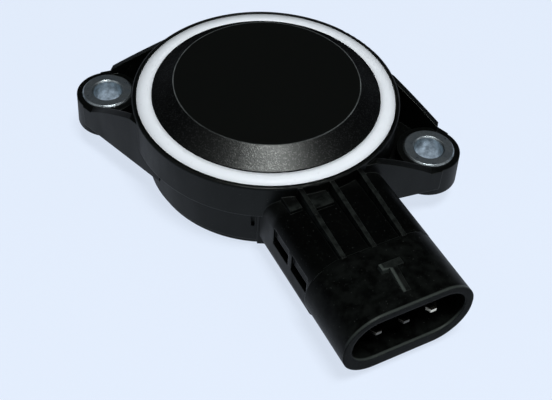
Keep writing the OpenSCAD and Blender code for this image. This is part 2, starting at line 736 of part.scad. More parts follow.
// Ring-shaped board with slots for the pins and holes for the pegs
module track_board() color("#d8d4c6") difference() {
    ring(board_in_r, board_out_r, board_z, board_t);
    for (a = peg_azimuths) rotate([0, 0, a]) translate([peg_r, 0, board_z - past])
        cylinder(r = peg_d / 2 + fit_gap, h = board_t + 2 * past);
    for (i = [-1 : 1]) along_connector()
        translate([pin_leg_u - pin_play, i * pin_pitch - pin_w / 2 - pin_play, board_z - past])
            cube([chamber_r, pin_w + 2 * pin_play, board_t + 2 * past]);
}

// Printed resistive track
module resistive_track() color("#20242a")
    ring_sector(track_r - track_w / 2, track_r + track_w / 2, board_top, print_t,
        wiper_az - track_over, wiper_az + travel + track_over);

// Direction of a pad seen from the rotor axis
function pad_az(i) = connector_az + atan2(i * pin_pitch, pad_u);

// Printed collector track with its pads and leads
module conductor_track() color("#b8bcc0") difference() {
    union() {
        ring_sector(collector_r - collector_w / 2, collector_r + collector_w / 2, board_top, print_t,
            pad_az(0) - 3, wiper_az + travel + track_over);
        lead_line(pad_az(1), wiper_az - track_over);
        lead_line(wiper_az + travel + track_over, pad_az(-1) + 360);
        for (i = [-1 : 1]) along_connector() {
            more = i == 0 ? track_step / 2 : 0;
            translate([pad_u - pad_len / 2 - more, i * pin_pitch - pad_len / 2, board_top])
                cube([pad_len + more - 0.1, pad_len, print_t]);
        }
    }
    ring(board_out_r - 0.2, board_out_r + 5, board_top - past, 3 * past);
}

// Narrow printed lead along the resistive track's circle
module lead_line(a0, a1) ring_sector(track_r - lead_w / 2, track_r + lead_w / 2, board_top, print_t, a0, a1);

// Rotor: shaft with the drive socket, collar with the spring arm, and keyed top
module rotor() color("#3b3f45") difference() {
    union() {
        translate([0, 0, rotor_z]) cylinder(r = shaft_r, h = collar_z + join - rotor_z);
        translate([0, 0, collar_z]) cylinder(r = collar_r, h = carrier_z - collar_z);
        translate([0, 0, carrier_z - join]) intersection() {
            cylinder(r = spigot_flat_r, h = rotor_top - carrier_z + join);
            translate([-spigot_flat_r, -spigot_flat, 0])
                cube([2 * spigot_flat_r, 2 * spigot_flat, rotor_top]);
        }
        rotate([0, 0, spring_arm_az]) translate([collar_r - past, -spring_arm_w / 2, collar_z])
            cube([spring_arm_r - collar_r + past, spring_arm_w, spring_arm_top - collar_z]);
    }
    rotate([0, 0, wiper_az]) translate([0, 0, rotor_z - past]) linear_extrude(socket_depth + past)
        square([socket_w, socket_t], center = true);
    translate([0, 0, pivot_z - 0.3]) cylinder(r = pivot_r + run_gap, h = rotor_top);
    rotate([0, 0, spring_arm_az]) translate([coil_r - wire_d / 2 - leg_play, 0, collar_z - past]) {
        notch_w = wire_d + 2 * leg_play;
        translate([0, -notch_w / 2, 0]) cube([notch_w, notch_w, spring_arm_top - collar_z + 2 * past]);
        translate([0, -spring_arm_w, 0])
            cube([spring_arm_w, spring_arm_w, past + coil_end_z + wire_d + 0.4 - collar_z]);
    }
}

// Places of the wiper's rivets, in the wiper's own axes
rivets = [[collector_r - 0.3, -rivet_back], [track_r - 0.4, -rivet_back]];

// Carrier: disc on the rotor's keyed top with an arm for the wiper and a stop tab
module wiper_carrier() color("#46423a") {
    stem_h = wiper_t + fit_gap + rivet_head_h;
    difference() {
        union() {
            translate([0, 0, carrier_z]) cylinder(r = carrier_hub_r, h = carrier_t);
            rotate([0, 0, wiper_az]) intersection() {
                translate([0, -arm_back, carrier_z]) cube([carrier_arm_r, arm_w, carrier_t]);
                translate([0, 0, carrier_z]) cylinder(r = carrier_arm_r, h = carrier_t);
            }
        }
        translate([0, 0, carrier_z - past]) intersection() {
            cylinder(r = spigot_flat_r + fit_gap, h = carrier_t + 2 * past);
            translate([-spigot_flat_r - past, -spigot_flat - fit_gap, 0])
                cube([2 * (spigot_flat_r + past), 2 * (spigot_flat + fit_gap), carrier_t + 2 * past]);
        }
    }
    ring_sector(stop_in_r + stop_play, stop_out_r - stop_play, carrier_top - join, stop_tab_h + join,
        wiper_az - tab_half, wiper_az + tab_half);
    for (p = rivets) rotate([0, 0, wiper_az]) translate([p[0], p[1], carrier_z - stem_h]) {
        cylinder(d = rivet_d, h = stem_h + join);
        cylinder(d = rivet_head_d, h = rivet_head_h);
    }
}

// Wiper: one stamped sheet whose fingers rest on both tracks
module wiper() color("#d8c27a") rotate([0, 0, wiper_az]) {
    base_z = carrier_z - wiper_t - fit_gap / 2;
    base_in = collector_r - 1.3;
    base_out = track_r + 1.1;
    base_back = rivet_back + 1.2;
    lean = asin((base_z - print_top - run_gap) / finger_len);
    difference() {
        translate([base_in, -base_back, base_z])
            cube([base_out - base_in, base_back + join - finger_len * cos(lean), wiper_t]);
        for (p = rivets) translate([p[0], p[1], base_z - past])
            cylinder(r = rivet_d / 2 + fit_gap, h = 2 * past);
    }
    for (r = [collector_r, track_r], k = [0 : fingers - 1]) {
        middle = r + (k - (fingers - 1) / 2) * (finger_w + finger_gap);
        translate([middle - finger_w / 2, 0, print_top + run_gap])
            rotate([-lean, 0, 0]) translate([0, -finger_len, 0]) cube([finger_w, finger_len, wiper_t]);
    }
}

housing();
cover();
cover_seal();
bushing(-ear_x);  // bushing_left
bushing(ear_x);  // bushing_right
pin(-1);  // pin_left
pin(0);  // pin_middle
pin(1);  // pin_right
foot_o_ring();
rotor_bush();
shaft_seal();
thrust_washer();
return_spring();
spring_washer();
track_board();
resistive_track();
conductor_track();
contact(-1);  // contact_left
contact(0);  // contact_middle
contact(1);  // contact_right
rotor();
wiper_carrier();
wiper();
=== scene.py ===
"""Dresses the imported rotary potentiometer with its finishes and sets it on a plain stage."""

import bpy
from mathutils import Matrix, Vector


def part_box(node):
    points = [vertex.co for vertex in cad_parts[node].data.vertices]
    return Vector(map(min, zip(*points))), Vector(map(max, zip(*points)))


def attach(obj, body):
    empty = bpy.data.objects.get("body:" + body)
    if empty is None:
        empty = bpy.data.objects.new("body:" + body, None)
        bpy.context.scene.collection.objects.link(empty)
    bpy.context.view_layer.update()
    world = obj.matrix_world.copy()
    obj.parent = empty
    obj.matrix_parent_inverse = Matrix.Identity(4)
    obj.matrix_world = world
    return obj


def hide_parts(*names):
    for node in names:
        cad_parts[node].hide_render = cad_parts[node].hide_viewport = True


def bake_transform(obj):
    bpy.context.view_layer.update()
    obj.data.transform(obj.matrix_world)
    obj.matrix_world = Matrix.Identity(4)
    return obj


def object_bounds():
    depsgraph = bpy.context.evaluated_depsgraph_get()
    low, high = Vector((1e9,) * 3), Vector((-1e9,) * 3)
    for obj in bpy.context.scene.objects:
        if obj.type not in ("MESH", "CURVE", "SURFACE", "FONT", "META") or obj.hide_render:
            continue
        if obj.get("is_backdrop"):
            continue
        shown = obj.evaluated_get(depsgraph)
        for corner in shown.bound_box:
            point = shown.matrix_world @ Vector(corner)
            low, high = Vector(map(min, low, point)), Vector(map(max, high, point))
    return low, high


bl_info = {
    "name": "Rotary potentiometer",
    "version": (1, 0, 0),
    "blender": (4, 5, 0),
    "location": "3D View > Sidebar > Potentiometer",
    "description": "Finishes, sealing bead, return spring and stage of a rotary potentiometer",
    "category": "Object",
}

import math

import bpy
from bpy.props import FloatProperty, FloatVectorProperty, IntProperty, PointerProperty
from mathutils import Matrix, Vector

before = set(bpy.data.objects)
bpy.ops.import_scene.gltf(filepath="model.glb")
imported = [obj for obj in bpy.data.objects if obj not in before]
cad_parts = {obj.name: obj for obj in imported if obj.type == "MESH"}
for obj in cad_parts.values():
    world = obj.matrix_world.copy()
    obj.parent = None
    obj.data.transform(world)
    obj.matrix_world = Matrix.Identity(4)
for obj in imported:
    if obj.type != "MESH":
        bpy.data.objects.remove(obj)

MM = 0.001

# The connector's direction, and stations along it from the rotor's axis.
CONNECTOR_TURN = math.radians(-51)
NECK_START = 24 * MM
SHROUD_START = 37.5 * MM
LATCH_BAR_END = 43 * MM
MOUTH_REACH = 49.7 * MM

# A little more than half the connector's width, and two heights of its upper side.
CONNECTOR_REACH = 12 * MM
NECK_TOP = 9.9 * MM
SHROUD_TOP = 10.7 * MM

# Radius of the ridge where the cover's flat top meets its bevel.
COVER_RIDGE = 16.45 * MM

# Height of the sealing bead's middle, which the camera aims at, over the bead's foot.
BEAD_MIDDLE = 2.3 * MM

# Size of the photograph in pixels, and width of the camera's sensor in millimetres.
IMAGE_W, IMAGE_H = 552, 400
SENSOR_W = 36.0

HOUSING_LOW, HOUSING_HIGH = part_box("housing")
COVER_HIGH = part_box("cover")[1]
BEAD_LOW, BEAD_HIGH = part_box("cover_seal")

# Colours of the dust, and of the pieces that the photograph doesn't show.
DARK_DUST = (0.05, 0.055, 0.052)
GREY_DUST = (0.45, 0.47, 0.5)
RUBBER_BLACK = (0.016, 0.0155, 0.015)
SINTERED_BRONZE = (0.42, 0.26, 0.12)
NATURAL_PLASTIC = (0.72, 0.69, 0.6)
BRIGHT_STEEL = (0.5, 0.51, 0.53)
FIRED_CERAMIC = (0.72, 0.69, 0.61)
CARBON_INK = (0.012, 0.013, 0.016)
SILVER_INK = (0.6, 0.59, 0.57)
SPRING_BRONZE = (0.62, 0.42, 0.2)
ACETAL_GREY = (0.05, 0.052, 0.056)


def colour_prop(name, description, default):
    """A colour that can be set in the sidebar."""
    return FloatVectorProperty(
        name=name, description=description, default=default, size=3, subtype="COLOR", min=0, max=1
    )


def length_prop(name, description, default, low=0.0, high=1.0):
    """A length in metres that can be set in the sidebar."""
    return FloatProperty(
        name=name, description=description, default=default, min=low, max=high, unit="LENGTH", precision=5
    )


def angle_prop(name, description, degrees):
    """An angle that can be set in the sidebar, with its default in degrees."""
    return FloatProperty(name=name, description=description, default=math.radians(degrees), subtype="ANGLE")


def brightness_prop(name, description, default):
    """A lamp's brightness that can be set in the sidebar."""
    return FloatProperty(name=name, description=description, default=default, min=0)


class FinishSettings(bpy.types.PropertyGroup):
    """Colours and surface sizes of the finishes"""

    housing_colour: colour_prop("Housing", "Black of the moulded housing", (0.0009, 0.0011, 0.001))
    cover_colour: colour_prop("Cover", "Black of the cover's flat top", (0.0026, 0.003, 0.0026))
    bevel_colour: colour_prop("Cover bevel", "Tone of the cover's coarser bevel", (0.0016, 0.0018, 0.0018))
    bead_colour: colour_prop("Sealing bead", "White of the sealing bead", (0.89, 0.95, 1.0))
    zinc_colour: colour_prop("Zinc", "Plating on the bushings", (0.5, 0.57, 0.6))
    brass_colour: colour_prop("Pins", "Tinned brass of the pins", (0.2, 0.19, 0.16))
    edge_radius: length_prop("Edge radius", "Rounding that moulded edges show", 0.22 * MM, 0, 1 * MM)
    lip_radius: length_prop("Lip radius", "Rounding at the connector's mouth", 0.6 * MM, 0, 1 * MM)
    grain_size: length_prop("Grain size", "Size of the moulded grain", 0.16 * MM, 0.02 * MM, 1 * MM)


class BeadSettings(bpy.types.PropertyGroup):
    """Sizes of the white sealing bead"""

    crown: length_prop("Crown", "Height of the bead's domed face", 0.08 * MM, 0, 0.5 * MM)
    ripple: length_prop("Ripple", "Unevenness of the poured face", 0.035 * MM, 0, 0.2 * MM)
    segments: IntProperty(name="Segments", description="Steps round the bead", default=360, min=24, max=720)
    sides: IntProperty(
        name="Sides", description="Steps round the bead's section", default=28, min=8, max=64
    )


class SpringSettings(bpy.types.PropertyGroup):
    """Sizes of the return spring's wire"""

    wire: length_prop("Wire", "Diameter of the wire", 0.7 * MM, 0.2 * MM, 1 * MM)
    coil_radius: length_prop("Coil radius", "Mean radius of the coil", 10.35 * MM, 5 * MM, 15 * MM)
    first_turn: length_prop("First turn", "Height of the coil's first turn", 1.98 * MM, 0, 10 * MM)
    pitch: length_prop("Pitch", "Rise of one turn", 0.85 * MM, 0.3 * MM, 3 * MM)
    turns: IntProperty(name="Turns", description="Whole turns of the coil", default=2, min=1, max=6)
    start: angle_prop("Start", "Direction of the fixed leg", 215)
    leg: length_prop("Leg", "Length of the fixed leg", 2.4 * MM, 0.5 * MM, 5 * MM)
    catch: angle_prop("Catch", "Angle from the fixed leg to the moving one", 32)
    catch_top: length_prop("Catch top", "Height of the moving leg's end", 5.15 * MM, 0, 10 * MM)
    bend: length_prop("Bend", "Radius of the wire's bends", 0.35 * MM, 0.1 * MM, 1 * MM)
    sides: IntProperty(name="Sides", description="Steps round the wire", default=20, min=6, max=48)


class StageSettings(bpy.types.PropertyGroup):
    """Camera, lamps and floor"""

    azimuth: angle_prop("Azimuth", "Camera's direction round the part", 10.442)
    elevation: angle_prop("Elevation", "Camera's height above the horizon", 40.911)
    roll: angle_prop("Roll", "Camera's tilt about its own line of sight", -2.958)
    distance: length_prop("Distance", "From the camera to the sealing bead's centre", 0.17169, 0.05, 5)
    lens: FloatProperty(
        name="Lens", description="Focal length in millimetres", default=62.64, min=10, max=300
    )
    aim_x: FloatProperty(name="Aim X", description="Pixel column of the bead's centre", default=266.49)
    aim_y: FloatProperty(name="Aim Y", description="Pixel row of the bead's centre", default=92.83)
    floor_colour: colour_prop("Floor", "Colour of the floor", (0.775, 0.855, 0.985))
    key_strength: brightness_prop("Key", "Brightness of the overhead lamp", 29.0)
    left_strength: brightness_prop("Left", "Brightness of the left lamp", 0.45)
    right_strength: brightness_prop("Right", "Brightness of the right lamp", 0.95)


class Finish:
    """One procedural material, with short calls for the nodes that the finishes share."""

    def __init__(self, name):
        self.material = bpy.data.materials.new(name)
        self.material.use_nodes = True
        self.tree = self.material.node_tree
        self.tree.nodes.clear()
        self.shader = self.node("ShaderNodeBsdfPrincipled")
        output = self.node("ShaderNodeOutputMaterial")
        self.tree.links.new(self.shader.outputs[0], output.inputs["Surface"])
        self.place = self.node("ShaderNodeTexCoord").outputs["Object"]
        self.normal = None

    def node(self, kind, **inputs):
        """Adds a node; inputs are values or sockets, by socket name with _ for a space."""
        made = self.tree.nodes.new(kind)
        for name, value in inputs.items():
            self.feed(made.inputs[name.replace("_", " ")], value)
        return made

    def feed(self, socket, value):
        """Links a socket to another, or sets its value."""
        if isinstance(value, bpy.types.NodeSocket):
            self.tree.links.new(value, socket)
        else:
            socket.default_value = value

    def math(self, operation, a, b=0.0):
        """One sum on numbers."""
        made = self.node("ShaderNodeMath")
        made.operation = operation
        self.feed(made.inputs[0], a)
        self.feed(made.inputs[1], b)
        return made.outputs[0]

    def plus(self, a, b):
        """Two numbers added up."""
        return self.math("ADD", a, b)

    def times(self, first, *others):
        """Two numbers or more, multiplied."""
        for other in others:
            first = self.math("MULTIPLY", first, other)
        return first

    def part(self, vector, axis):
        """A vector's X, Y or Z."""
        return self.node("ShaderNodeSeparateXYZ", Vector=vector).outputs[axis]

    def vector_math(self, operation, a, b):
        """One sum on vectors."""
        made = self.node("ShaderNodeVectorMath")
        made.operation = operation
        self.feed(made.inputs[0], a)
        self.feed(made.inputs[1], b)
        return made.outputs["Value" if operation in {"DOT_PRODUCT", "LENGTH"} else "Vector"]

    def noise(self, size, detail=2.0, roughness=0.5, stretch=(1, 1, 1)):
        """Noise with features of about that size, drawn out along an axis by a stretch under 1."""
        place = self.vector_math("MULTIPLY", self.place, stretch)
        look = {"Scale": 1 / size, "Detail": detail, "Roughness": roughness}
        return self.node("ShaderNodeTexNoise", Vector=place, **look).outputs["Fac"]

    def specks(self, size):
        """Cells of about that size, each with its own value."""
        made = self.node("ShaderNodeTexVoronoi", Vector=self.place, Scale=1 / size)
        return self.node("ShaderNodeSeparateColor", Color=made.outputs["Color"]).outputs["Red"]

    def span(self, value, low, high, to_low=0.0, to_high=1.0):
        """Maps low..high to to_low..to_high, held at both ends."""
        made = self.node("ShaderNodeMapRange", Value=value)
        for name, number in zip(("From Min", "From Max", "To Min", "To Max"), (low, high, to_low, to_high)):
            made.inputs[name].default_value = number
        return made.outputs["Result"]

    def mix(self, factor, a, b):
        """Mixes two colours, given as three numbers or as sockets."""
        made = self.node("ShaderNodeMix")
        made.data_type = "RGBA"
        self.feed(made.inputs[0], factor)
        for socket, value in ((made.inputs[6], a), (made.inputs[7], b)):
            self.feed(socket, value if isinstance(value, bpy.types.NodeSocket) else (*value, 1))
        return made.outputs[2]

    def paint(self, tone, mask, share, colour):
        """Lays a share of a colour over a tone where the mask is 1."""
        return self.mix(self.times(mask, share), tone, colour)

    def round_edges(self, radius):
        """Rounds the shading of sharp edges, and returns a mask that is 1 on them."""
        bevel = self.node("ShaderNodeBevel", Radius=radius)
        bevel.samples = 6
        self.normal = bevel.outputs["Normal"]
        true_normal = self.node("ShaderNodeNewGeometry").outputs["Normal"]
        agreement = self.vector_math("DOT_PRODUCT", self.normal, true_normal)
        return self.span(agreement, 0.995, 0.8)

    def towards_eye(self, power):
        """1 where the surface faces the eye, falling off as it turns away: how much of the gloss shows."""
        away = self.node("ShaderNodeLayerWeight", Blend=0.5).outputs["Facing"]
        return self.math("POWER", self.math("SUBTRACT", 1.0, away), power)

    def bump(self, height, depth):
        """Adds relief of that depth in metres over what is there already."""
        made = self.node("ShaderNodeBump", Height=height, Distance=depth, Strength=1.0)
        if self.normal is not None:
            self.feed(made.inputs["Normal"], self.normal)
        self.normal = made.outputs["Normal"]

    def done(self, **inputs):
        """Sets the shader's own sockets and returns the material."""
        for name, value in inputs.items():
            if isinstance(value, tuple):
                value = (*value, 1)
            self.feed(self.shader.inputs[name.replace("_", " ")], value)
        if self.normal is not None:
            self.feed(self.shader.inputs["Normal"], self.normal)
        return self.material


def tinted(colour, factor):
    """A colour made lighter or darker."""
    return tuple(min(1.0, channel * factor) for channel in colour)


def moulded_plastic(name, colour, finish, roughness=(0.4, 0.5), specular=0.14, edge_wear_and_highlight=5.0):
    """Glass-filled moulding: fine grain, faint flow, fibre specks and edges that are a little lighter."""
    f = Finish(name)
    edges = f.round_edges(finish.edge_radius)
    grain = f.noise(finish.grain_size, detail=3)
    flow = f.noise(3 * MM, detail=2, stretch=(1, 1, 0.35))
    cloud = f.noise(9 * MM, detail=3)
    specks = f.span(f.specks(0.2 * MM), 0.93, 1.0)
    tone = f.mix(f.span(cloud, 0.35, 0.65), tinted(colour, 0.85), tinted(colour, 1.2))
    tone = f.paint(tone, specks, 0.35, tinted(colour, 4.0))
    # Edges lighter: partly worn, partly a painted highlight.
    tone = f.paint(tone, edges, 0.6, tinted(colour, edge_wear_and_highlight))
    rough = f.plus(f.span(flow, 0.3, 0.7, *roughness), f.span(grain, 0.2, 0.8, -0.04, 0.04))
    f.bump(grain, 0.005 * MM)
    f.bump(flow, 0.01 * MM)
    return f.done(Base_Color=tone, Roughness=rough, Specular_IOR_Level=specular)


class ConnectorPlace:
    """Where a point of the housing lies along, across and above its connector."""

    def __init__(self, f, forward):
        self.along = f.vector_math("DOT_PRODUCT", f.place, tuple(forward))
        self.across = f.vector_math("DOT_PRODUCT", f.place, tuple(forward.cross((0, 0, 1))))
        self.height = f.part(f.place, "Z")
        beside = f.math("ABSOLUTE", self.across)
        past_root = f.span(self.along, NECK_START, NECK_START + 1 * MM)
        near_axis = f.span(beside, CONNECTOR_REACH + 0.2 * MM, CONNECTOR_REACH)
        self.on_connector = f.times(past_root, near_axis)


def raised_tops_highlight(f, at):
    """A patchy mask for a painted highlight on the ribs, pads and latch, which stand above the neck's and
    the shroud's tops.
    """
    neck_to_shroud = SHROUD_START - 0.1 * MM, SHROUD_START + 0.1 * MM
    level = f.span(at.along, *neck_to_shroud, NECK_TOP + 0.3 * MM, SHROUD_TOP + 0.15 * MM)
    proud = f.span(f.math("SUBTRACT", at.height, level), 0.0, 0.1 * MM)
    patches = f.span(f.noise(1.2 * MM, detail=3), 0.32, 0.62, 0.1, 0.55)
    before_stem = f.span(at.along, LATCH_BAR_END, LATCH_BAR_END + 0.3 * MM, 1.0, 0.3)
    return f.times(proud, at.on_connector, patches, before_stem)


def latch_highlight(f, at, edges):
    """A mask for a painted highlight on the latch: one end of its bar, one side of its stem, and faintly
    all its edges.
    """
    above = f.span(at.height, SHROUD_TOP + 0.05 * MM, SHROUD_TOP + 0.1 * MM)
    on_shroud = f.span(at.along, SHROUD_START + 0.4 * MM, SHROUD_START + 0.5 * MM)
    bar_to_stem = LATCH_BAR_END - 0.4 * MM, LATCH_BAR_END + 0.1 * MM
    unlit_width = f.span(at.along, *bar_to_stem, 1.3 * MM, 0.05 * MM)
    one_side = f.span(f.math("SUBTRACT", at.across, unlit_width), 0, 0.25 * MM)
    return f.times(above, at.on_connector, on_shroud, f.math("MAXIMUM", one_side, f.times(edges, 0.15)))


def housing_plastic(finish, split_z):
    """The housing's moulding: darker connector, parting line, lighter edges, and painted highlights on
    ribs, pads, latch, mouth lip and shroud.
    """
    f = Finish("housing_plastic")
    colour = tuple(finish.housing_colour)
    at = ConnectorPlace(f, Vector((math.cos(CONNECTOR_TURN), math.sin(CONNECTOR_TURN), 0)))
    face = f.span(at.along, MOUTH_REACH - 0.06 * MM, MOUTH_REACH - 0.02 * MM)
    off_face = f.span(face, 0, 1, 1.0, 0.0)
    near_mouth = MOUTH_REACH - 1.2 * MM, MOUTH_REACH - 0.8 * MM
    edges = f.round_edges(f.span(at.along, *near_mouth, finish.edge_radius, finish.lip_radius))

    grain = f.noise(finish.grain_size, detail=3)
    flow = f.noise(3 * MM, detail=2, stretch=(1, 1, 0.35))
    cloud = f.noise(9 * MM, detail=3)
    shroud_sheen = f.span(f.noise(1.8 * MM, detail=3), 0.4, 0.62)
    on_shroud = f.span(at.along, SHROUD_START - 1.5 * MM, SHROUD_START + 1.5 * MM)
    raised_highlight = raised_tops_highlight(f, at)
    # Mask for a painted highlight where the mouth's lip faces upwards.
    at_lip = f.span(at.along, MOUTH_REACH - 0.5 * MM, MOUTH_REACH - 0.3 * MM)
    lip_highlight = f.times(at_lip, f.span(f.part(f.normal, "Z"), 0.2, 0.7))
    off_line = f.math("ABSOLUTE", f.math("SUBTRACT", at.height, split_z))
    line = f.times(f.span(off_line, 0.09 * MM, 0.03 * MM), at.on_connector)

    tone = f.mix(f.span(cloud, 0.35, 0.65), tinted(colour, 0.8), tinted(colour, 1.3))
    tone = f.paint(tone, f.span(f.specks(0.2 * MM), 0.94, 1.0), 0.3, tinted(colour, 14.0))
    tone = f.paint(tone, line, 0.5, tinted(colour, 5.0))
    # Lighter edges off the mouth's face: partly worn, partly a painted highlight.
    tone = f.paint(tone, f.times(edges, off_face), 0.6, tinted(colour, 16.0))
    # Painted sheen in lighter patches over the shroud.
    tone = f.paint(tone, f.times(shroud_sheen, on_shroud), 0.8, tinted(colour, 5.5))
    # Painted highlight, in patches, on the raised tops of the ribs, pads and latch.
    tone = f.mix(raised_highlight, tone, tinted(colour, 20.0))
    # Painted highlight on the mouth's upward-facing lip.
    tone = f.paint(tone, lip_highlight, 0.8, tinted(colour, 40.0))
    # Painted highlight on one side of the latch.
    tone = f.mix(latch_highlight(f, at, edges), tone, tinted(colour, 42.0))
    tone = f.paint(tone, f.span(f.specks(0.13 * MM), 0.992, 1.0), 0.5, DARK_DUST)

    rough = f.plus(f.span(flow, 0.3, 0.7, 0.36, 0.45), f.span(grain, 0.2, 0.8, -0.04, 0.04))
    rough = f.plus(rough, f.times(face, 0.15))
    body_shine = f.times(f.span(cloud, 0.3, 0.7, 0.18, 0.21), f.towards_eye(1.0))
    off_connector = f.span(at.on_connector, 0, 1, 1.0, 0.0)
    shine = f.plus(f.times(body_shine, off_connector), f.times(at.on_connector, 0.036))
    shine = f.plus(shine, f.times(edges, off_face, 0.12))
    shine = f.plus(shine, f.times(f.math("MAXIMUM", raised_highlight, lip_highlight), 0.15))
    f.bump(grain, 0.005 * MM)
    f.bump(flow, 0.01 * MM)
    f.bump(line, 0.03 * MM)
    return f.done(
        Base_Color=tone, Roughness=rough, Specular_IOR_Level=shine, Specular_Tint=(0.93, 1.0, 0.96)
    )


def cover_plastic(finish):
    """The cover's moulding: smooth dark top, coarser glittering bevel and a painted highlight along the
    ridge where they meet.
    """
    f = Finish("cover_plastic")
    edges = f.round_edges(finish.edge_radius)
    radius = f.vector_math("LENGTH", f.vector_math("MULTIPLY", f.place, (1, 1, 0)), (0, 0, 0))
    bevel = f.span(radius, COVER_RIDGE - 0.05 * MM, COVER_RIDGE + 0.1 * MM)
    # Painted highlight along the ridge, in patches and weaker at the front.
    off_ridge = f.math("ABSOLUTE", f.math("SUBTRACT", radius, COVER_RIDGE))
    ridge = f.span(off_ridge, 0.12 * MM, 0.05 * MM)
    patches = f.span(f.noise(2.5 * MM, detail=3), 0.3, 0.65, 0.35, 1.0)
    less_in_front = f.span(f.part(f.place, "Y"), -15 * MM, -6 * MM, 0.3, 1.0)
    raised_highlight = f.times(ridge, patches, less_in_front)
    grain = f.noise(finish.grain_size, detail=3)
    coarse = f.noise(0.22 * MM, detail=2, roughness=0.6)
    sparkle = f.times(f.span(f.specks(0.18 * MM), 0.7, 1.0), bevel)

    slope = tuple(finish.bevel_colour)
    tone = f.mix(bevel, tuple(finish.cover_colour), slope)
    tone = f.paint(tone, sparkle, 0.5, tinted(slope, 8.0))
    # Edges a little lighter: partly worn, partly a painted highlight.
    tone = f.paint(tone, edges, 0.5, tinted(slope, 2.2))
    tone = f.paint(tone, raised_highlight, 0.8, tinted(slope, 90.0))
    rough = f.math("SUBTRACT", f.span(grain, 0.2, 0.8, 0.4, 0.48), f.times(bevel, 0.085))
    glitter = f.times(f.span(sparkle, 0, 1, 0.48, 0.9), f.towards_eye(5.0), bevel)
    shine = f.plus(f.span(bevel, 0, 1, 0.1, 0.0), glitter)
    f.bump(grain, 0.003 * MM)
    f.bump(f.times(coarse, bevel), 0.035 * MM)
    return f.done(
        Base_Color=tone, Roughness=rough, Specular_IOR_Level=shine, Specular_Tint=(0.95, 1.0, 0.97)
    )


def silicone(finish):
    """White poured silicone with a soft sheen, faint clouding and a little dust."""
    f = Finish("sealing_bead")
    cloud = f.noise(5 * MM, detail=3)
    fine = f.noise(0.5 * MM, detail=2)
    dust = f.span(f.specks(0.35 * MM), 0.97, 1.0)
    tone = f.mix(f.span(cloud, 0.3, 0.7), tinted(finish.bead_colour, 0.96), tuple(finish.bead_colour))
    tone = f.paint(tone, dust, 0.12, GREY_DUST)
    f.bump(fine, 0.01 * MM)
    return f.done(Base_Color=tone, Roughness=f.span(fine, 0.3, 0.7, 0.4, 0.55), Specular_IOR_Level=0.4)


def metal(name, colour, finish, roughness=(0.25, 0.42), stain=0.7):
    """Bare or plated metal: fine tool marks, cloudy tarnish and bright edges."""
    f = Finish(name)
    edges = f.round_edges(finish.edge_radius * 0.6)
    marks = f.noise(0.12 * MM, detail=2)
    cloud = f.noise(1.2 * MM, detail=4, roughness=0.6)
    tone = f.mix(f.span(cloud, 0.35, 0.62), tinted(colour, stain), tuple(colour))
    tone = f.paint(tone, edges, 0.6, tinted(colour, 1.8))
    rough = f.plus(f.span(cloud, 0.3, 0.7, *reversed(roughness)), f.span(marks, 0.2, 0.8, -0.05, 0.05))
    f.bump(marks, 0.006 * MM)
    return f.done(Base_Color=tone, Roughness=rough, Metallic=1.0)


def rubber(name, colour):
    """Matt moulded rubber with bloom and a fine skin."""
    f = Finish(name)
    bloom = f.noise(1.5 * MM, detail=4)
    skin = f.noise(0.15 * MM, detail=2)
    tone = f.mix(f.span(bloom, 0.45, 0.75), colour, tinted(colour, 2.2))
    f.bump(skin, 0.008 * MM)
    return f.done(Base_Color=tone, Roughness=f.span(bloom, 0.3, 0.7, 0.55, 0.75), Specular_IOR_Level=0.35)


def printed_film(name, colour, metallic, roughness):
    """Printed paste with tiny grains and faint clouding."""
    f = Finish(name)
    grains = f.noise(0.06 * MM, detail=3)
    cloud = f.noise(0.9 * MM, detail=3)
    tone = f.mix(f.span(cloud, 0.3, 0.7), tinted(colour, 0.8), tinted(colour, 1.15))
    f.bump(grains, 0.006 * MM)
    return f.done(Base_Color=tone, Roughness=f.span(grains, 0.3, 0.7, *roughness), Metallic=metallic)


def ceramic(name, colour):
    """Fired ceramic board with fine pores and faint mottling."""
    f = Finish(name)
    pores = f.span(f.noise(0.1 * MM, detail=3), 0.28, 0.36)
    cloud = f.noise(2 * MM, detail=3)
    tone = f.mix(f.span(cloud, 0.3, 0.7), tinted(colour, 0.93), colour)
    tone = f.mix(pores, tinted(colour, 0.7), tone)
    f.bump(pores, 0.006 * MM)
    return f.done(Base_Color=tone, Roughness=f.span(cloud, 0.3, 0.7, 0.5, 0.62), Specular_IOR_Level=0.4)


def dress(node, material):
    """Gives a CAD node its finish."""
    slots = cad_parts[node].data.materials
    slots.clear()
    slots.append(material)


def settings(name):
    """One of the scene's property groups."""
    return getattr(bpy.context.scene, "potentiometer_" + name)


